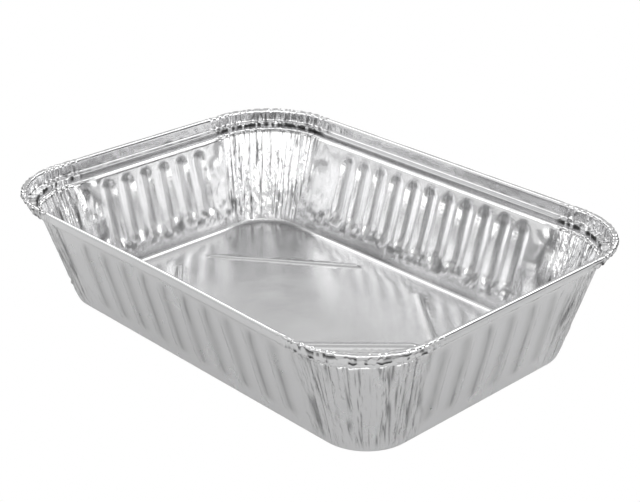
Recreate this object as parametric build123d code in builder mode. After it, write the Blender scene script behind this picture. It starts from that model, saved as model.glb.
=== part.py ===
"""An oblong foil tray, pressed from one sheet of aluminium foil.

The foil is what is left between two forms of the same shape: the outer form is
the outside of the tray filled solid, and the inner form is the same thing made
one foil thickness smaller and standing one foil thickness higher. The bead is
the sheet's edge, rolled outward along the top of the flange.

Millimetres. The origin is the middle of the underside, X runs along the tray,
Y across it and Z up.
"""
from build123d import *
from math import cos, radians, sin
import os

os.makedirs("parts", exist_ok=True)

# The whole tray, over the rolled rim
rim_length = 218.0
rim_width = 158.0
rim_height = 50.0
rim_corner_radius = 33.7
foil = 0.12

# The floor, set in from the rim by more at the long sides than at the ends
floor_inset_ends = 16.9
floor_inset_sides = 19.5
floor_corner_radius = 19.2
floor_fillet = 3.5

# The rim, from the top down: a rolled bead, an upright flange, a flat ledge for
# a lid, a short neck, and a small shoulder where the sloping wall begins
bead_radius = 1.2
bead_turn = 300.0
flange_height = 5.5
ledge_width = 3.72
neck_height = 3.0
shoulder_width = 0.8

# The flutes: upright bulges pressed out of the four walls
flute_depth = 0.8
flute_foot_gap = 7.0
flute_top_gap = 3.0
back_flutes = 11
back_flute_pitch = 10.1
front_flutes = 10
front_flute_pitch = 12.3
left_flutes = 6
left_flute_pitch = 10.1
right_flutes = 6
right_flute_pitch = 12.0
flute_valley = 3.3

# The gathered corners: narrow pleats down the wall, and short ones on the flange
wall_pleats = 9
wall_pleat_width = 1.9
wall_pleat_depth = 0.45
wall_pleat_foot_gap = 4.5
wall_pleat_top_gap = 1.5
flange_pleats = 12
flange_pleat_width = 1.5
flange_pleat_depth = 0.3
flange_pleat_gap = 0.8

# How far each bulge's bar reaches back below the surface that it stands on
bulge_root = 0.6

# The floor's stiffening ribs, pressed up, each given by its two ends
rib_width = 3.2
rib_height = 0.7
ribs = (
    ((-74.0, 9.0), (-21.0, 49.0)),
    ((16.0, 48.5), (50.0, 21.0)),
    ((46.0, 14.0), (-6.0, -39.0)),
    ((-75.0, -8.0), (-42.0, -36.0)),
)

end_reach = rim_length / 2
side_reach = rim_width / 2
ledge_height = rim_height - flange_height
wall_height = ledge_height - neck_height
bead_centre_height = rim_height - bead_radius
flange_inset = 2 * bead_radius - foil
neck_inset = flange_inset + ledge_width
wall_top_inset = neck_inset + shoulder_width


def outline(inset_ends, inset_sides, radius):
    """Draw the tray's rounded outline, set in from the rim."""
    RectangleRounded(rim_length - 2 * inset_ends, rim_width - 2 * inset_sides, radius)


def rim_outline(inset):
    """Draw an outline that keeps one distance from the rim all round."""
    outline(inset, inset, rim_corner_radius - inset)


def round_bar(radius, length, proud):
    """Make the top of a straight round bar with ball ends, lying along Y.

    It is cut off level, and proud is the depth that is kept below its crown.
    """
    end = length / 2
    with BuildPart() as bar:
        with BuildSketch(Plane.YZ):
            with BuildLine():
                Line((-end - radius, 0), (end + radius, 0))
                CenterArc((end, 0), radius, -90, 90)
                Line((-end, -radius), (end, -radius))
                CenterArc((-end, 0), radius, 180, 90)
            make_face()
        revolve(axis=Axis.Y)
        split(bisect_by=Plane.XY.offset(radius - proud))
    return bar.part


def bulge(foot, head, across, width, depth, skin):
    """Make the sunk bar that stands proud of a surface as one long bulge.

    The bulge runs on the surface from foot to head. Across lies level on the
    surface, at right angles to the run, with the outside above the two. The skin
    is added to the bar's radius.
    """
    run = head - foot
    outward = across.cross(run).normalized()
    radius = (width**2 / 4 + depth**2) / (2 * depth)
    middle = (foot + head) / 2 - outward * (radius - depth)
    bar = round_bar(radius + skin, run.length - width, depth + skin + bulge_root)
    return Plane(middle, x_dir=across, z_dir=outward).location * bar


def wall_bulge(foot, head, outward, foot_gap, top_gap, width, depth, skin):
    """Make a bulge up a wall that stops short of the wall's foot and head."""
    rise = (head - foot) / (head.Z - foot.Z)
    across = Vector(0, 0, 1).cross(outward)
    return bulge(foot + rise * foot_gap, head - rise * top_gap, across, width, depth, skin)


def flute_bars(skin):
    """Make the flutes of the four walls."""
    bars = []
    for outward, reach, floor_inset, count, pitch in (
        (Vector(0, 1, 0), side_reach, floor_inset_sides, back_flutes, back_flute_pitch),
        (Vector(0, -1, 0), side_reach, floor_inset_sides, front_flutes, front_flute_pitch),
        (Vector(-1, 0, 0), end_reach, floor_inset_ends, left_flutes, left_flute_pitch),
        (Vector(1, 0, 0), end_reach, floor_inset_ends, right_flutes, right_flute_pitch),
    ):
        across = Vector(0, 0, 1).cross(outward)
        for step in range(count):
            along = across * pitch * (step - (count - 1) / 2)
            foot = along + outward * (reach - floor_inset)
            head = along + outward * (reach - wall_top_inset) + Vector(0, 0, wall_height)
            sizes = (flute_foot_gap, flute_top_gap, pitch - flute_valley, flute_depth)
            bars.append(wall_bulge(foot, head, outward, *sizes, -skin))
    return bars


def corner_lines(count, foot_insets, foot_radius, foot_height, head_inset, head_height):
    """Give evenly turned lines up the four corners as (foot, head, outward)."""
    foot_inset_ends, foot_inset_sides = foot_insets
    lines = []
    for x_side, y_side, start in ((1, 1, 0), (-1, 1, 90), (-1, -1, 180), (1, -1, 270)):
        foot_centre = Vector(
            x_side * (end_reach - foot_inset_ends - foot_radius),
            y_side * (side_reach - foot_inset_sides - foot_radius),
            foot_height,
        )
        head_centre = Vector(
            x_side * (end_reach - rim_corner_radius),
            y_side * (side_reach - rim_corner_radius),
            head_height,
        )
        for step in range(count):
            angle = radians(start + 90 * (step + 0.5) / count)
            outward = Vector(cos(angle), sin(angle), 0)
            foot = foot_centre + outward * foot_radius
            head = head_centre + outward * (rim_corner_radius - head_inset)
            lines.append((foot, head, outward))
    return lines


def pleat_bars(skin):
    """Make the pleats of the four corners, on the wall and on the flange."""
    wall_lines = corner_lines(
        count=wall_pleats,
        foot_insets=(floor_inset_ends, floor_inset_sides),
        foot_radius=floor_corner_radius,
        foot_height=0,
        head_inset=wall_top_inset,
        head_height=wall_height,
    )
    flange_lines = corner_lines(
        count=flange_pleats,
        foot_insets=(flange_inset, flange_inset),
        foot_radius=rim_corner_radius - flange_inset,
        foot_height=ledge_height,
        head_inset=flange_inset,
        head_height=bead_centre_height,
    )
    wall_sizes = (wall_pleat_foot_gap, wall_pleat_top_gap, wall_pleat_width, wall_pleat_depth)
    flange_sizes = (flange_pleat_gap, flange_pleat_gap, flange_pleat_width, flange_pleat_depth)
    bars = [wall_bulge(*line, *wall_sizes, -skin) for line in wall_lines]
    bars += [wall_bulge(*line, *flange_sizes, -skin) for line in flange_lines]
    return bars


def rib_bars(skin):
    """Make the ribs of the floor."""
    bars = []
    for start, end in ribs:
        foot = Vector(*start)
        head = Vector(*end)
        across = (head - foot).cross(Vector(0, 0, 1)).normalized()
        bars.append(bulge(foot, head, across, rib_width, rib_height, skin))
    return bars


def tray_form(skin):
    """Make the outer form, or the inner form where the skin is the foil."""
    proud_bars = flute_bars(skin) + pleat_bars(skin)
    sunk_bars = rib_bars(skin)
    with BuildPart() as form:
        with BuildSketch(Plane.XY.offset(skin)):
            outline(floor_inset_ends + skin, floor_inset_sides + skin, floor_corner_radius - skin)
        with BuildSketch(Plane.XY.offset(wall_height + skin)):
            rim_outline(wall_top_inset + skin)
        loft(ruled=True)
        fillet(form.edges().group_by(Axis.Z)[0], floor_fillet - skin)
        with BuildSketch(Plane.XY.offset(wall_height + skin)):
            rim_outline(neck_inset + skin)
        extrude(amount=neck_height)
        with BuildSketch(Plane.XY.offset(ledge_height + skin)):
            rim_outline(flange_inset + skin)
        extrude(amount=bead_centre_height - ledge_height - skin)
        add(proud_bars)
        add(sunk_bars, mode=Mode.SUBTRACT)
    return form.part


outer_form = tray_form(0)
inner_form = tray_form(foil)

def bead_section(plane):
    """Draw the bead's rolled section, starting from the flange side."""
    with BuildSketch(plane) as section:
        with BuildLine():
            outside = CenterArc((0, 0), bead_radius, 0, bead_turn)
            inside = CenterArc((0, 0), bead_radius - foil, 0, bead_turn)
            Line(outside @ 0, inside @ 0)
            Line(outside @ 1, inside @ 1)
        make_face()
    return section.sketch


corner_x = end_reach - rim_corner_radius
corner_y = side_reach - rim_corner_radius
end_bead = Plane((end_reach - bead_radius, 0, bead_centre_height), x_dir=(-1, 0, 0), z_dir=(0, 1, 0))
side_bead = Plane((0, side_reach - bead_radius, bead_centre_height), x_dir=(0, -1, 0), z_dir=(-1, 0, 0))
end_section = bead_section(end_bead)
corner_section = bead_section(end_bead.offset(corner_y))
side_section = bead_section(side_bead.offset(-corner_x))

with BuildPart() as foil_tray:
    extrude(end_section, amount=corner_y)
    revolve(corner_section, axis=Axis((corner_x, corner_y, 0), (0, 0, 1)), revolution_arc=90)
    extrude(side_section, amount=corner_x)
    mirror(about=Plane.YZ)
    mirror(about=Plane.XZ)
    add(outer_form)
    add(inner_form, mode=Mode.SUBTRACT)

foil_tray.part.label = "foil_tray"
export_step(foil_tray.part, "parts/foil_tray.step")
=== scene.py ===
import bpy
import numpy as np
from math import cos, pi, radians, sin
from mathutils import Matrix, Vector
from mathutils.geometry import delaunay_2d_cdt


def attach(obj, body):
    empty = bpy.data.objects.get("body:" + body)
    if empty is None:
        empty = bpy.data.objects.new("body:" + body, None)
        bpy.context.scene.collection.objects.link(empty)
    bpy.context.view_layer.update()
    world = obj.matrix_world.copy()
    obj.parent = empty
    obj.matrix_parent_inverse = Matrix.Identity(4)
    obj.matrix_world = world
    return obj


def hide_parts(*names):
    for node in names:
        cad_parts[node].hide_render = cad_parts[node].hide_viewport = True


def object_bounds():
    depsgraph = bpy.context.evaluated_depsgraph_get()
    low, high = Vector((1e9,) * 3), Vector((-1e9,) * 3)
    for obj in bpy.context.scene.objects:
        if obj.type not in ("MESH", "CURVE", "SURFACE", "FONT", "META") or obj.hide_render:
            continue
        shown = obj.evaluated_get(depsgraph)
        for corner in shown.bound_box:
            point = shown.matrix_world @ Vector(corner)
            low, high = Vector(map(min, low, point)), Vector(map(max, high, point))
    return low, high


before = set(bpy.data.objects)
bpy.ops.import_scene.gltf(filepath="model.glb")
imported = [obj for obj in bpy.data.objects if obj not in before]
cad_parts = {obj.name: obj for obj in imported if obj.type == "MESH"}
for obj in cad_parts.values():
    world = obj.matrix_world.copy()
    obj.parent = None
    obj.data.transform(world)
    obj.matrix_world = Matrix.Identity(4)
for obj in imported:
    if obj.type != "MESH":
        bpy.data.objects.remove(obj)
cad_low, cad_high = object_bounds()

# ---------------------------------------------------------------------------
# The sheet of foil, marked out for the press.
# It is one piece of thin aluminium. Here it is marked out in lines that run round the tray,
# from the rolled edge down to the floor, and columns that cross them, in millimetres.
# ---------------------------------------------------------------------------
half_length = 1000 * cad_high.x
half_width = 1000 * cad_high.y
rim_top = 1000 * cad_high.z
rim_corner = 33.7
foil = 0.12
straight_spacing = 0.8
corner_spacing = 0.53

# The way each side faces, half its length, and the corner at its end, going round.
sides = (
    ((0, -1), half_length, (1, -1)),
    ((1, 0), half_width, (1, 1)),
    ((0, 1), half_length, (-1, 1)),
    ((-1, 0), half_width, (-1, -1)),
)
column_centre = []
column_facing = []
column_place = []
column_past_corner = []
way_round = 0.0
for number, ((face_x, face_y), half, corner) in enumerate(sides):
    straight = half - rim_corner
    for t in np.linspace(-1, 1, round(2 * straight / straight_spacing), endpoint=False):
        column_centre.append((face_x - face_y * t, face_y + face_x * t))
        column_facing.append((face_x, face_y))
        column_place.append(way_round + (t + 1) * straight)
        column_past_corner.append((1 - abs(t)) * straight)
    way_round += 2 * straight
    arc = rim_corner * pi / 2
    for t in np.linspace(0, 1, round(arc / corner_spacing), endpoint=False):
        angle = (number - 1 + t) * pi / 2
        column_centre.append(corner)
        column_facing.append((cos(angle), sin(angle)))
        column_place.append(way_round + t * arc)
        column_past_corner.append(0.0)
    way_round += arc
column_centre = np.array(column_centre)
column_facing = np.array(column_facing)
column_place = np.array(column_place)
column_past_corner = np.array(column_past_corner)


def line_round(inset_x, inset_y, corner, height):
    """One line round the tray: a rounded rectangle set in from the rim."""
    x = column_centre[:, 0] * (half_length - inset_x - corner) + column_facing[:, 0] * corner
    y = column_centre[:, 1] * (half_width - inset_y - corner) + column_facing[:, 1] * corner
    return np.stack([x, y, np.full_like(x, height)], axis=1)


def bend(start, corner, end, steps):
    """A bend of the section, in steps, without its first point."""
    start, corner, end = np.array(start), np.array(corner), np.array(end)
    points = []
    for t in np.linspace(0, 1, steps + 1)[1:]:
        points.append((1 - t) ** 2 * start + 2 * t * (1 - t) * corner + t * t * end)
    return points


def run(start, end, steps):
    """A straight run of the section, in steps, without its first point."""
    return [(1 - t) * np.array(start) + t * np.array(end) for t in np.linspace(0, 1, steps + 1)[1:]]


# The section of the rim: the roll, the flange, the ledge, the neck and the shoulder.
bead = 1.2
bead_turn = 300
bead_step = 20
flange_foot = rim_top - 5.38
wall_top = rim_top - 8.5
flange_inset = 2 * bead + 0.25
neck_inset = 6.12
shoulder_inset = 6.92
shoulder_fall = 0.15
bend_size = 0.5
section = [
    np.array((bead + bead * cos(radians(turn)), rim_top - bead + bead * sin(radians(turn))))
    for turn in range(bead_turn, -1, -bead_step)
]
section += run(section[-1], (flange_inset, flange_foot + bend_size), steps=5)
section += bend(section[-1], (flange_inset, flange_foot), (flange_inset + bend_size, flange_foot), steps=3)
section += run(section[-1], (neck_inset - bend_size, flange_foot), steps=4)
section += bend(section[-1], (neck_inset, flange_foot), (neck_inset, flange_foot - bend_size), steps=3)
section += run(section[-1], (neck_inset, wall_top + bend_size), steps=3)
section += bend(section[-1], (neck_inset, wall_top), (shoulder_inset, wall_top - shoulder_fall), steps=3)
rim_rows = len(section)
lines = [line_round(inset, inset, rim_corner - inset, height) for inset, height in section]

# The wall slopes from the shoulder to the floor's outline, and bends into the floor.
floor_inset_ends = 16.98
floor_inset_sides = 19.56
floor_corner = 19.1
floor_bend = 1.3
wall_steps = 32
floor_bend_steps = 6
head = lines[-1]
foot = line_round(floor_inset_ends, floor_inset_sides, floor_corner, foil)
up_the_wall = (head - foot) / np.linalg.norm(head - foot, axis=1)[:, None]
inwards = np.column_stack([-column_facing, np.zeros(len(foot))])
lines += run(head, foot + up_the_wall * floor_bend, wall_steps)
lines += bend(lines[-1], foot, foot + inwards * floor_bend, floor_bend_steps)

sheet = np.array(lines)
along = np.roll(sheet, -1, axis=1) - np.roll(sheet, 1, axis=1)
food_side = np.cross(along, np.gradient(sheet, axis=0))
food_side /= np.linalg.norm(food_side, axis=2)[:, :, None]
X, Y, Z = sheet[:, :, 0], sheet[:, :, 1], sheet[:, :, 2]
row = np.broadcast_to(np.arange(len(sheet))[:, None], X.shape)
place = np.broadcast_to(column_place, X.shape)
facing_x = np.broadcast_to(column_facing[:, 0], X.shape)
facing_y = np.broadcast_to(column_facing[:, 1], X.shape)
past_corner = np.broadcast_to(column_past_corner, X.shape)
on_wall = row >= rim_rows - 1

# ---------------------------------------------------------------------------
# The flutes: upright channels pressed outward in all four walls.
# The die forms them to stiffen the thin sheet. They stop short of the shoulder and the
# floor. Those of the back and left are closer together, with narrower ends.
# ---------------------------------------------------------------------------
pressed_out = np.zeros_like(X)


def between(value, low, high):
    """0 up to low, 1 from high, smooth between."""
    t = np.clip((value - low) / (high - low), 0, 1)
    return t * t * (3 - 2 * t)


def band(value, start, full, fading, end):
    """0 up to start, 1 from full to fading, and 0 again from end."""
    return between(value, start, full) * (1 - between(value, fading, end))


def flutes(beside, count, pitch, middle, width, depth, foot, top, tip, crown, run_out):
    """How far a row of flutes presses out each point. They narrow over foot and top."""
    end_curve = 1.6
    foot_narrowing = 0.6
    foot_low, foot_high = foot
    top_low, top_high = top
    press = np.zeros_like(X)
    for number in range(count):
        centre = middle + (number - (count - 1) / 2) * pitch
        into_top = np.clip((Z - top_low) / (top_high - top_low), 0, 1)
        into_foot = np.clip((foot_high - Z) / (foot_high - foot_low), 0, 1)
        narrowing = 1 - (1 - tip) * into_top**end_curve
        narrowing = narrowing * (1 - foot_narrowing * into_foot**end_curve)
        reach = np.abs(beside - centre) / (width / 2 * narrowing)
        ends = band(Z, foot_low - 1.5, foot_low + 8, top_high - run_out, top_high + 0.5)
        press = np.maximum(press, depth * ends * np.clip(1 - reach**2, 0, 1) ** crown)
    return press


back = on_wall & (facing_y > 0.999)
front = on_wall & (facing_y < -0.999)
left = on_wall & (facing_x < -0.999)
right = on_wall & (facing_x > 0.999)
back_flutes = dict(
    count=11, pitch=10.1, middle=2.0, width=7.0, depth=0.9,
    foot=(7.0, 11.0), top=(35.0, 39.4), tip=0.3, crown=0.5, run_out=5,
)
left_flutes = dict(
    count=6, pitch=10.15, middle=-0.5, width=7.2, depth=0.9,
    foot=(7.0, 10.5), top=(35.5, 39.4), tip=0.5, crown=0.5, run_out=4,
)
front_flutes = dict(
    count=10, pitch=12.3, middle=3.0, width=10.8, depth=1.0,
    foot=(3.0, 8.0), top=(36.0, 41.4), tip=0.7, crown=0.75, run_out=8,
)
right_flutes = dict(
    count=6, pitch=12.0, middle=-2.0, width=10.4, depth=1.0,
    foot=(3.0, 8.0), top=(36.0, 41.4), tip=0.7, crown=0.75, run_out=8,
)
fluted_walls = (
    (back, X, back_flutes),
    (left, Y, left_flutes),
    (front, X, front_flutes),
    (right, Y, right_flutes),
)
for wall, beside, wall_flutes in fluted_walls:
    pressed_out += wall * flutes(beside, **wall_flutes)

# ---------------------------------------------------------------------------
# The gathers: narrow upright folds in the four corners.
# Pressing a flat sheet into a corner leaves spare foil, which folds where it likes. The
# folds are irregular, sharpest under the shoulder, and run out into the straight walls.
# ---------------------------------------------------------------------------
broad_fold_depth = 0.95
fine_fold_depth = 0.6
fold_level = 0.35


def swells(across, up, width, height, seed, shift=(0, 0)):
    """Smooth random swells from -1 to 1, each about width across and height up."""
    columns, rows = 512, 128
    table = np.random.default_rng(seed).uniform(-1, 1, (columns, rows))
    u, v = across / width + shift[0], up / height + shift[1]
    i, j = np.floor(u).astype(int), np.floor(v).astype(int)
    s, t = u - i, v - j
    s, t = s * s * (3 - 2 * s), t * t * (3 - 2 * t)
    i, i_next = i % columns, (i + 1) % columns
    j, j_next = j % rows, (j + 1) % rows
    low = table[i, j] * (1 - s) + table[i_next, j] * s
    high = table[i, j_next] * (1 - s) + table[i_next, j_next] * s
    return low * (1 - t) + high * t


def near_corner(full, end):
    """1 in the corners and up to full past them, 0 from end past them."""
    return 1 - between(past_corner, full, end)


gather = on_wall * near_corner(1.5, 10)
drift = place + 0.8 * swells(place, Z, width=7, height=12, seed=21)
broad_fold = swells(drift, Z, width=2.1, height=42, seed=22)
fine_fold = swells(drift, Z, width=1.15, height=26, seed=23, shift=(9, 0))
broad_folds = broad_fold_depth * (np.abs(broad_fold) - fold_level)
fine_folds = fine_fold_depth * (np.abs(fine_fold) - fold_level)
folds = broad_folds + fine_folds + 0.25 * swells(place, Z, width=4, height=12, seed=24, shift=(3, 0))
pressed_out += gather * folds * (0.6 + 0.4 * between(Z, 10, 38)) * between(Z, 0.6, 5)

# Where a fold is pinched shut a dark line of painted shade marks it, fainter on the outside.
broad_pinch = 0.2
fine_pinch = 0.22
pinch_shade = np.maximum(1 - np.abs(broad_fold) / broad_pinch, 1 - np.abs(fine_fold) / fine_pinch).clip(0, 1)
pinch_shade *= between(swells(place, Z, width=1.7, height=14, seed=25, shift=(5, 0)), -0.45, 0.2)
painted_shade_inside = gather * pinch_shade * between(Z, 1, 6)
painted_shade_outside = 0.7 * painted_shade_inside

# Down the middle of each flute a greyer band of painted shade lies inside, and outside a thin
# uneven dark line of painted shade with a soft painted shade beside it.
inner_shade_depth = 0.4
shade_depth = 0.22
for wall, beside, wall_flutes in fluted_walls:
    count, pitch, middle = wall_flutes["count"], wall_flutes["pitch"], wall_flutes["middle"]
    turn = (beside - middle) / pitch + (count - 1) / 2
    from_middle = pitch / 2 - np.abs(turn - np.floor(turn) - 0.5) * pitch
    on_flutes = wall * (np.abs(beside - middle) < count * pitch / 2 + 1) * band(Z, 6, 10, 37, 41)
    inner_shade = inner_shade_depth * (1 - between(from_middle, 1.3, 1.9))
    painted_shade_inside = np.maximum(painted_shade_inside, on_flutes * inner_shade)
    uneven = 0.42 + 0.25 * swells(place, Z, width=9, height=11, seed=26)
    line = np.clip(1 - np.abs(from_middle - 0.3) / 0.9, 0, 1) * uneven
    shade = shade_depth * (1 - between(from_middle, 0.5, 4.5))
    painted_shade_outside = np.maximum(painted_shade_outside, on_flutes * np.maximum(line, shade))

# ---------------------------------------------------------------------------
# The dents: the thin sheet buckles between the flutes and the corners.
# Handling and the stretch of the press leave creases that meet in points, small crinkles
# at the flutes' feet, and a low waviness all over.
# ---------------------------------------------------------------------------
facet_spacing = 6.5
facet_depth = 0.65
crinkle_spacing = 2.6
crinkle_depth = 0.38
waviness_depth = 0.14
fine_waviness_depth = 0.05


def buckles(u, v, spacing, seed):
    """Facets that meet in creases, from about -0.5 to 0.5."""
    lowest, highest = -8, 52
    far = 99.0
    chance = np.random.default_rng(seed)
    count = int(way_round * (highest - lowest) / spacing**2)
    points_u = chance.uniform(0, way_round, count)
    points_v = chance.uniform(lowest, highest, count)
    nearest = np.full_like(u, far)
    for point_u, point_v in zip(points_u, points_v):
        away = np.abs(u - point_u)
        away = np.minimum(away, way_round - away)
        nearest = np.minimum(nearest, np.hypot(away, v - point_v))
    return nearest / spacing - 0.5


beside_gathers = on_wall * band(past_corner, 2, 7, 13, 19)
warp = 1.5 * swells(place, Z, width=5, height=5, seed=31)
facets = buckles(place + warp, 0.8 * Z + warp, facet_spacing, 32)
pressed_out += beside_gathers * facets * facet_depth * band(Z, 1, 6, 38, 42)
# Painted shade darkens the creases between the facets.
facet_shade = beside_gathers * 0.5 * between(facets, 0.12, 0.3) * between(Z, 4, 8)
painted_shade_inside = np.maximum(painted_shade_inside, facet_shade)
at_flute_feet = on_wall * band(Z, 4.5, 6.5, 10, 14)
crinkles = buckles(place, 1.2 * Z, crinkle_spacing, 33)
pressed_out += at_flute_feet * crinkles * crinkle_depth
# Painted shade darkens the crinkles' creases, away from the corners.
crinkle_shade = at_flute_feet * 0.55 * between(crinkles, 0.0, 0.2) * (past_corner > 4)
painted_shade_inside = np.maximum(painted_shade_inside, crinkle_shade)
waviness = swells(place, Z, width=13, height=12, seed=34)
pressed_out += on_wall * waviness_depth * waviness * between(Z, 0.5, 6)
fine_waviness = swells(place, Z, width=2.4, height=9, seed=35)
pressed_out += (past_corner > 0) * on_wall * fine_waviness_depth * fine_waviness * between(Z, 0.5, 6)

# ---------------------------------------------------------------------------
# The rim's pleats, in the corners of the flange and the rolled edge.
# The flange is gathered in small crimps before its edge is rolled over, so the roll and
# the ledge under it are crimped there too. The straight parts stay smooth.
# ---------------------------------------------------------------------------
crimp_depth = 0.68
broad_crimp_share = 1.2
fine_crimp_share = 0.35
crimp_level = 0.33
on_rim = ~on_wall
crimp = on_rim * near_corner(5, 11)
crimp_place = place + 0.7 * swells(place, row, width=5, height=9, seed=41)
broad_crimp = swells(crimp_place, row, width=1.5, height=30, seed=42)
fine_crimp = swells(crimp_place, row, width=0.9, height=12, seed=43, shift=(7, 0))
crimps = broad_crimp_share * (np.abs(broad_crimp) - crimp_level) + fine_crimp_share * fine_crimp
pressed_out += crimp * crimps * crimp_depth

# The rim's lines are counted down from the edge: the roll is 0 to 15, the flange 16 to 20,
# the ledge 24 to 27 and the neck 31 to 33, with bends between them.
# Painted shade under the ledge: broken dark dashes in the corners' necks, and a fainter even line along the
# straight parts.
in_neck = band(row, 26.5, 28, 31, 33)
broken = between(swells(place, row, width=1.6, height=30, seed=46), -0.6, -0.1)
painted_shade_inside = np.maximum(painted_shade_inside, crimp * in_neck * broken)
painted_shade_inside = np.maximum(painted_shade_inside, (1 - crimp) * on_rim * in_neck * 0.35)
# Painted shade in the pinches of the flange's corners.
on_flange = band(row, 15, 17, 23, 25)
pinches = np.clip(1 - np.abs(broad_crimp) / 0.14, 0, 1)
painted_shade_inside = np.maximum(painted_shade_inside, 0.8 * crimp * on_flange * pinches)
# Painted shade as dark dots on the roll in the corners.
on_roll = band(row, 1, 2.5, 5, 6.5)
roll_swells = swells(place, row, width=1.15, height=8, seed=48, shift=(30, 0))
roll_shade_dots = between(roll_swells, -0.1, 0.15) * near_corner(2, 7)
painted_shade_inside = np.maximum(painted_shade_inside, on_rim * on_roll * roll_shade_dots)
# Painted shade as dark dots outside, under the roll, in the corners.
under_roll = band(row, 15, 16.5, 17.5, 19) + band(row, 18.5, 20, 22.5, 24)
shade_dots = between(swells(place, row, width=1.15, height=2.5, seed=47), 0.05, 0.3) * near_corner(0, 5)
painted_shade_outside = np.maximum(painted_shade_outside, on_rim * under_roll * shade_dots)
pressed_out += on_rim * 0.05 * swells(place, row, width=8, height=9, seed=44)
pressed_out += on_rim * 0.035 * swells(place, row, width=1.7, height=3, seed=45)

# The bend at the wall's foot holds a painted grey shade line.
foot_row = len(sheet) - 1 - floor_bend_steps
foot_shade_line = on_wall * np.clip(1 - np.abs(row - foot_row) / 2.0, 0, 1)
painted_shade_inside = np.maximum(painted_shade_inside, 0.45 * foot_shade_line)

# The right end has one sharp fold, pressed in.
fold_at = 34
fold_slant = 0.05
fold_reach = 1.8
fold_depth = 0.9
from_fold = np.abs(Y - fold_at - fold_slant * (Z - 20))
sharp = on_wall * (facing_x > 0.99) * np.clip(1 - from_fold / fold_reach, 0, 1)
pressed_out -= fold_depth * sharp * band(Z, 3, 10, 34, 40)

# The front has a small curled dent low at its left. The front of the rim moves by the same
# depth: its flange stands further out, its ledge lies lower, and its roll is smaller.
curl_x = -80
curl_height = 9
curl_depth = 0.45
curl_spacing = 3.4
curl_reach = 5.5
far = 99
curl = np.hypot(X - curl_x, Z - curl_height) * on_wall + far * (facing_y > -0.9)
pressed_out += curl_depth * np.cos(curl * 2 * pi / curl_spacing) * np.clip(1 - curl / curl_reach, 0, 1)
pressed = sheet - food_side * pressed_out[:, :, None]

# The front of the rim has been pushed in a little at the middle of its length. The rest is
# kept inside the real size.
bow_depth = 0.8
clearance = 0.13
along_front = np.clip(X / (half_length - rim_corner), -1, 1)
bow = bow_depth * (facing_y < -0.999) * np.cos(along_front * pi / 2) ** 2
pressed[:, :, 1] += bow * between(Z, 10, 50)
pressed[:, :, 0] = np.clip(pressed[:, :, 0], clearance - half_length, half_length - clearance)
pressed[:, :, 1] = np.clip(pressed[:, :, 1], clearance - half_width, half_width - clearance)
pressed[:, :, 2] = np.clip(pressed[:, :, 2], foil, rim_top - clearance)

# ---------------------------------------------------------------------------
# The rim and the walls, made from the marked sheet.
# A flat grid has one vertex for each crossing of a line and a column. It is moved to the
# pressed form, and its two ends are joined.
# ---------------------------------------------------------------------------


def press_sheet(name, points, marks):
    """A piece of the sheet, with its painted shade and how gathered it is at each point."""
    bpy.ops.object.select_all(action="DESELECT")
    columns, rows = points.shape[1], points.shape[0]
    bpy.ops.mesh.primitive_grid_add(x_subdivisions=columns, y_subdivisions=rows - 1, size=1)
    piece = bpy.context.object
    piece.name = piece.data.name = name
    joined = np.concatenate([points, points[:, :1]], axis=1)
    piece.data.vertices.foreach_set("co", (joined / 1000).ravel())
    for mark, depth in marks.items():
        depth = np.concatenate([depth, depth[:, :1]], axis=1)
        piece.data.attributes.new(mark, "FLOAT", "POINT").data.foreach_set("value", depth.ravel())
    piece.data.update()
    bpy.ops.object.mode_set(mode="EDIT")
    bpy.ops.mesh.select_all(action="SELECT")
    bpy.ops.mesh.remove_doubles(threshold=1e-7)
    bpy.ops.object.mode_set(mode="OBJECT")
    return piece


# The marks: the painted shade inside and outside, and how gathered each point is.
marks = {
    "painted_shade_inside": painted_shade_inside,
    "painted_shade_outside": painted_shade_outside,
    "gathered": np.maximum(gather, 0.25 * crimp),
}
low = rim_rows - 1
rim = press_sheet("tray_rim", pressed[:rim_rows], {mark: depth[:rim_rows] for mark, depth in marks.items()})
bowl = press_sheet("tray_bowl", pressed[low:], {mark: depth[low:] for mark, depth in marks.items()})

# ---------------------------------------------------------------------------
# The floor, with its four pressed ribs.
# It is the flat middle of the same sheet, with low ribs pressed up across its corners to
# stiffen it. It is meshed inside the walls' lowest line, and joined to the walls there.
# ---------------------------------------------------------------------------
ribs = (
    ((-74.0, 9.0), (-21.0, 49.0)),
    ((16.0, 48.5), (50.0, 21.0)),
    ((46.0, 14.0), (-6.0, -39.0)),
    ((-75.0, -8.0), (-42.0, -36.0)),
)
rib_width = 3.2
rib_height = 0.65
rib_crown = 0.8
rib_clearance = 2.6
rib_step = 0.8
rib_overrun = 1.6
rib_lines = (-1.9, -1.4, -1.1, -0.8, -0.4, 0, 0.4, 0.8, 1.1, 1.4, 1.9)
floor_spacing = 2.2


def rib_reach(points, start, end):
    """The distance of each point from a rib's middle line."""
    line = np.array(end) - np.array(start)
    length = np.linalg.norm(line)
    line = line / length
    from_start = points - np.array(start)
    beyond = np.maximum(np.maximum(-(from_start @ line), from_start @ line - length), 0)
    return np.hypot(from_start @ np.array([-line[1], line[0]]), beyond)


flat_x = half_length - floor_inset_ends - floor_bend
flat_y = half_width - floor_inset_sides - floor_bend
flat_corner = floor_corner - floor_bend


def from_floor_edge(points):
    """The distance of each point in from the floor's edge."""
    past = np.maximum(np.abs(points) - np.array([flat_x - flat_corner, flat_y - flat_corner]), 0)
    in_corner = (past > 0).all(axis=1)
    from_arc = flat_corner - np.hypot(past[:, 0], past[:, 1])
    from_straight = np.minimum(flat_x - np.abs(points[:, 0]), flat_y - np.abs(points[:, 1]))
    return np.where(in_corner, from_arc, from_straight)


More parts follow.
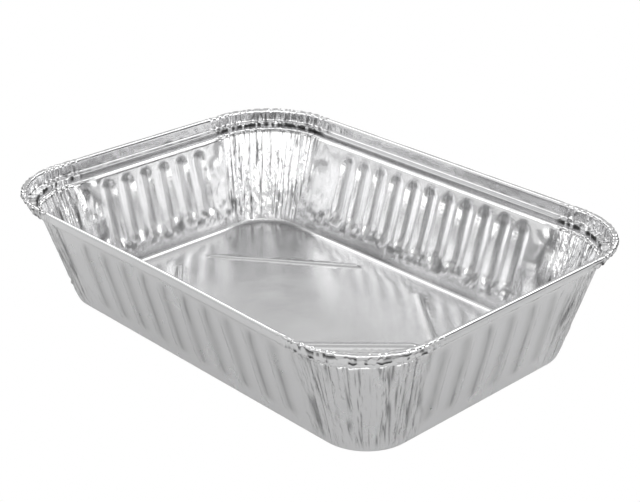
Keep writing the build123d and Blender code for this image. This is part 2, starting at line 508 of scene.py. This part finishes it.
grid_x = np.arange(-half_length, half_length, floor_spacing)
grid_y = np.arange(-half_width, half_width, floor_spacing)
across_x, across_y = np.meshgrid(grid_x, grid_y)
spots = np.stack([across_x.ravel(), across_y.ravel()], axis=1)
spots = spots[from_floor_edge(spots) > 0.8 * floor_spacing]
rib_spots = []
for start, end in ribs:
    spots = spots[rib_reach(spots, start, end) > rib_clearance]
    line = np.array(end) - np.array(start)
    length = np.linalg.norm(line)
    line = line / length
    for s in np.arange(-rib_overrun, length + rib_overrun + 0.1, rib_step):
        for w in rib_lines:
            rib_spots.append(np.array(start) + line * s + np.array([-line[1], line[0]]) * w)
edge = pressed[-1, :, :2]
spots = np.concatenate([edge, spots, np.array(rib_spots)])
edge_lines = [(i, (i + 1) % len(edge)) for i in range(len(edge))]
spots, _, faces, _, _, _ = delaunay_2d_cdt([Vector(spot) for spot in spots], edge_lines, [], 1, 1e-6)
spots = np.array([tuple(spot) for spot in spots])

wave_height = 0.16
ripple_height = 0.035
height = np.zeros(len(spots))
for start, end in ribs:
    reach = rib_reach(spots, start, end)
    height = np.maximum(height, rib_height * np.clip(1 - (reach / (rib_width / 2)) ** 2, 0, 1) ** rib_crown)
spots_x, spots_y = spots[:, 0], spots[:, 1]
low_wave = wave_height * (swells(spots_x, spots_y, width=26, height=26, seed=51, shift=(9, 9)) + 1)
low_wave += ripple_height * (swells(spots_x, spots_y, width=8, height=8, seed=52, shift=(20, 20)) + 1)
height += foil + low_wave * between(from_floor_edge(spots), 0, 9)
mesh = bpy.data.meshes.new("tray_floor")
mesh.from_pydata(np.column_stack([spots, height]) / 1000, [], faces)
for mark in marks:
    mesh.attributes.new(mark, "FLOAT", "POINT")
laid_flat = between(from_floor_edge(spots), 0, 1.5)
mesh.attributes.new("laid_flat", "FLOAT", "POINT").data.foreach_set("value", laid_flat)
mesh.update()
base = bpy.data.objects.new("tray_floor", mesh)
bpy.context.collection.objects.link(base)
bpy.ops.object.select_all(action="DESELECT")
base.select_set(True)
bowl.select_set(True)
bpy.context.view_layer.objects.active = bowl
bpy.ops.object.join()
bpy.ops.object.mode_set(mode="EDIT")
bpy.ops.mesh.select_all(action="SELECT")
bpy.ops.mesh.remove_doubles(threshold=2e-6)
bpy.ops.mesh.normals_make_consistent(inside=True)
bpy.ops.object.mode_set(mode="OBJECT")

# ---------------------------------------------------------------------------
# The foil itself, and its two faces.
# It is bare rolled aluminium: the face that takes the food is bright, and the other is
# duller. Both carry the grain of rolling, drawn into streaks where the sheet is gathered.
# ---------------------------------------------------------------------------
grain = bpy.data.node_groups.new("foil_grain", "ShaderNodeTree")
for name, kind, way, value in (
    ("Streaks", "NodeSocketFloat", "INPUT", 0.5),
    ("Gathers", "NodeSocketFloat", "INPUT", 2.0),
    ("Speckle", "NodeSocketFloat", "INPUT", 0.5),
    ("Height", "NodeSocketFloat", "OUTPUT", 0),
    ("Shade", "NodeSocketFloat", "OUTPUT", 0),
):
    socket = grain.interface.new_socket(name, in_out=way, socket_type=kind)
    if way == "INPUT":
        socket.default_value = value
nodes, links = grain.nodes, grain.links
given = nodes.new("NodeGroupInput")
result = nodes.new("NodeGroupOutput")
spot = nodes.new("ShaderNodeTexCoord")


def grain_noise(stretched, detail, size):
    """Noise on the foil, stretched by lower numbers along X, Y or Z."""
    stretch = nodes.new("ShaderNodeMapping")
    stretch.inputs["Scale"].default_value = stretched
    links.new(spot.outputs["Object"], stretch.inputs["Vector"])
    texture = nodes.new("ShaderNodeTexNoise")
    texture.inputs["Scale"].default_value = size
    texture.inputs["Detail"].default_value = detail
    links.new(stretch.outputs["Vector"], texture.inputs["Vector"])
    return texture.outputs["Fac"]


def grain_step(operation, a, b):
    """One sum or product of two values of the grain."""
    node = nodes.new("ShaderNodeMath")
    node.operation = operation
    for socket, value in zip(node.inputs, (a, b)):
        links.new(value, socket)
    return node.outputs["Value"]


streaks = grain_noise((1, 1, 0.05), detail=3, size=1100)
speckle = grain_noise((1, 1, 1), detail=4, size=700)
gathered = nodes.new("ShaderNodeAttribute")
gathered.attribute_name = "gathered"
folded = grain_step("MULTIPLY", gathered.outputs["Fac"], given.outputs["Gathers"])
streak_height = grain_step("MULTIPLY", streaks, grain_step("ADD", given.outputs["Streaks"], folded))
speckle_height = grain_step("MULTIPLY", speckle, given.outputs["Speckle"])
links.new(grain_step("ADD", streak_height, speckle_height), result.inputs["Height"])
links.new(grain_noise((1, 1, 0.5), detail=3, size=90), result.inputs["Shade"])


def make_foil(name, shade_mark, colour, roughness, streaks, gathers, speckle, bump_distance):
    """One face of the foil, with painted shade darkening its creases, and rougher where it is laid flat."""
    crease_shade = 0.07
    flat_roughness = 0.09
    material = bpy.data.materials.new(name)
    material.use_nodes = True
    tree = material.node_tree
    shader = tree.nodes["Principled BSDF"]
    shader.inputs["Metallic"].default_value = 1
    shader.inputs["Base Color"].default_value = (*colour, 1)
    group = tree.nodes.new("ShaderNodeGroup")
    group.node_tree = grain
    group.inputs["Streaks"].default_value = streaks
    group.inputs["Speckle"].default_value = speckle
    group.inputs["Gathers"].default_value = gathers
    bump = tree.nodes.new("ShaderNodeBump")
    bump.inputs["Strength"].default_value = 1
    bump.inputs["Distance"].default_value = bump_distance
    tree.links.new(group.outputs["Height"], bump.inputs["Height"])
    tree.links.new(bump.outputs["Normal"], shader.inputs["Normal"])
    spread = tree.nodes.new("ShaderNodeMapRange")
    spread.inputs["From Min"].default_value = 0.35
    spread.inputs["From Max"].default_value = 0.65
    spread.inputs["To Min"].default_value = roughness[0]
    spread.inputs["To Max"].default_value = roughness[1]
    tree.links.new(group.outputs["Shade"], spread.inputs["Value"])
    flat = tree.nodes.new("ShaderNodeAttribute")
    flat.attribute_name = "laid_flat"
    rubbed = tree.nodes.new("ShaderNodeMath")
    rubbed.operation = "MULTIPLY_ADD"
    rubbed.inputs[1].default_value = flat_roughness
    tree.links.new(flat.outputs["Fac"], rubbed.inputs[0])
    tree.links.new(spread.outputs["Result"], rubbed.inputs[2])
    tree.links.new(rubbed.outputs["Value"], shader.inputs["Roughness"])
    # Painted shade: the base colour darkens where the attribute of painted shade is set.
    painted_shade = tree.nodes.new("ShaderNodeAttribute")
    painted_shade.attribute_name = shade_mark
    shade = tree.nodes.new("ShaderNodeMix")
    shade.data_type = "RGBA"
    shade.inputs["A"].default_value = (*colour, 1)
    shade.inputs["B"].default_value = (*(crease_shade * c for c in colour), 1)
    tree.links.new(painted_shade.outputs["Fac"], shade.inputs["Factor"])
    tree.links.new(shade.outputs["Result"], shader.inputs["Base Color"])
    return material


bright_foil = make_foil(
    "bright_foil", "painted_shade_inside", colour=(0.76, 0.76, 0.765), roughness=(0.11, 0.18),
    streaks=0.5, gathers=3.5, speckle=0.3, bump_distance=0.00007,
)
dull_foil = make_foil(
    "dull_foil", "painted_shade_outside", colour=(0.86, 0.86, 0.865), roughness=(0.2, 0.28),
    streaks=0.6, gathers=4.0, speckle=0.5, bump_distance=0.00012,
)
for piece in (rim, bowl):
    piece.data.materials.clear()
    piece.data.materials.append(bright_foil)
    piece.data.materials.append(dull_foil)
    bpy.ops.object.select_all(action="DESELECT")
    piece.select_set(True)
    bpy.context.view_layer.objects.active = piece
    thickness = piece.modifiers.new("thickness", "SOLIDIFY")
    thickness.thickness = foil / 1000
    thickness.offset = -1
    thickness.material_offset = 1
    thickness.material_offset_rim = 1
    bpy.ops.object.modifier_apply(modifier="thickness")
    bpy.ops.object.shade_smooth()
    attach(piece, "root")
    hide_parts("foil_tray")

# ---------------------------------------------------------------------------
# The camera, which isn't part of the tray.
# It looks down on the tray from the front right, with the near corner towards it.
# ---------------------------------------------------------------------------
camera_data = bpy.data.cameras.new("camera")
camera_data.lens = 79.2
camera_data.sensor_width = 36
camera = bpy.data.objects.new("camera", camera_data)
bpy.context.collection.objects.link(camera)
azimuth = radians(46.43)
elevation = radians(25.12)
distance = 0.641
aim = Vector((-0.0445, 0.0487, 0))
toward = Vector((sin(azimuth) * cos(elevation), -cos(azimuth) * cos(elevation), sin(elevation)))
camera.location = aim + toward * distance
camera.rotation_mode = "QUATERNION"
camera.rotation_quaternion = (-toward).to_track_quat("-Z", "Y")
bpy.context.scene.camera = camera

# ---------------------------------------------------------------------------
# The studio floor, a plain matt sheet that the tray stands on.
# It is plain white to look at, and a mid grey in what the foil reflects of it.
# ---------------------------------------------------------------------------
reflected_grey = 0.66
bpy.ops.object.select_all(action="DESELECT")
bpy.ops.mesh.primitive_plane_add(size=12, location=(0, 0, -0.0001))
ground = bpy.context.object
ground.name = "ground"
white = bpy.data.materials.new("white_floor")
white.use_nodes = True
tree = white.node_tree
matt = tree.nodes["Principled BSDF"]
matt.inputs["Base Color"].default_value = (reflected_grey, reflected_grey, reflected_grey, 1)
matt.inputs["Roughness"].default_value = 0.9
glow = tree.nodes.new("ShaderNodeEmission")
glow.inputs["Strength"].default_value = 1
seen = tree.nodes.new("ShaderNodeLightPath")
mix = tree.nodes.new("ShaderNodeMixShader")
tree.links.new(seen.outputs["Is Camera Ray"], mix.inputs["Fac"])
tree.links.new(matt.outputs["BSDF"], mix.inputs[1])
tree.links.new(glow.outputs["Emission"], mix.inputs[2])
tree.links.new(mix.outputs["Shader"], tree.nodes["Material Output"].inputs["Surface"])
ground.data.materials.append(white)

# ---------------------------------------------------------------------------
# The studio light: soft panels all round the tray and over it.
# Each panel is a soft-edged patch of a dim sky, so the bright foil has light and dark
# things to reflect.
# ---------------------------------------------------------------------------
sky_level = 0.06
panel_level = 0.72
side_softness = 3
foot_softness = 2
head_softness = 3
degrees = 180 / pi

# The way a panel faces, half its width, its foot and head, all in degrees, and its power.
panels = (
    (2, 24, 2, 31, 4.2),
    (270, 22, 2, 31, 3.4),
    (315, 22, 2, 31, 2.1),
    (225, 22, 2, 31, 1.2),
    (135, 40, 2, 33, 0.7),
    (90, 19, 30, 60, 4.2),
    (135, 24, 33, 60, 1.25),
    (180, 24, 28, 60, 2.9),
    (45, 22, 30, 60, 1.5),
    (225, 22, 30, 60, 1.0),
    (315, 40, 38, 62, 1.6),
    (0, 190, 64, 95, 0.7),
)
world = bpy.data.worlds.new("studio")
bpy.context.scene.world = world
world.use_nodes = True
tree = world.node_tree
backdrop = tree.nodes["Background"]
backdrop.inputs["Color"].default_value = (1, 1, 1, 1)
direction = tree.nodes.new("ShaderNodeTexCoord")
parts = tree.nodes.new("ShaderNodeSeparateXYZ")
tree.links.new(direction.outputs["Generated"], parts.inputs["Vector"])


def figure(operation, *values):
    """One step of the sky's arithmetic."""
    node = tree.nodes.new("ShaderNodeMath")
    node.operation = operation
    for socket, value in zip(node.inputs, values):
        if isinstance(value, (int, float)):
            socket.default_value = value
        else:
            tree.links.new(value, socket)
    return node.outputs["Value"]


def soft_step(value, low, high):
    """0 at low and 1 at high, smooth between."""
    node = tree.nodes.new("ShaderNodeMapRange")
    node.interpolation_type = "SMOOTHSTEP"
    node.inputs["From Min"].default_value = low
    node.inputs["From Max"].default_value = high
    tree.links.new(value, node.inputs["Value"])
    return node.outputs["Result"]


height_angle = figure("MULTIPLY", figure("ARCSINE", parts.outputs["Z"]), degrees)
brightness = None
for turn, spread, low, high, power in panels:
    ahead = figure(
        "ADD",
        figure("MULTIPLY", parts.outputs["X"], cos(radians(turn))),
        figure("MULTIPLY", parts.outputs["Y"], sin(radians(turn))),
    )
    aside = figure(
        "SUBTRACT",
        figure("MULTIPLY", parts.outputs["Y"], cos(radians(turn))),
        figure("MULTIPLY", parts.outputs["X"], sin(radians(turn))),
    )
    away = figure("MULTIPLY", figure("ABSOLUTE", figure("ARCTAN2", aside, ahead)), degrees)
    across = soft_step(away, spread + side_softness, spread - side_softness)
    from_foot = soft_step(height_angle, low - foot_softness, low + foot_softness)
    from_head = soft_step(height_angle, high + head_softness, high - head_softness)
    upward = figure("MULTIPLY", from_foot, from_head)
    panel = figure("MULTIPLY", figure("MULTIPLY", across, upward), panel_level * power)
    brightness = panel if brightness is None else figure("ADD", brightness, panel)
tree.links.new(figure("ADD", brightness, sky_level), backdrop.inputs["Strength"])
bpy.context.scene.view_settings.view_transform = "Standard"
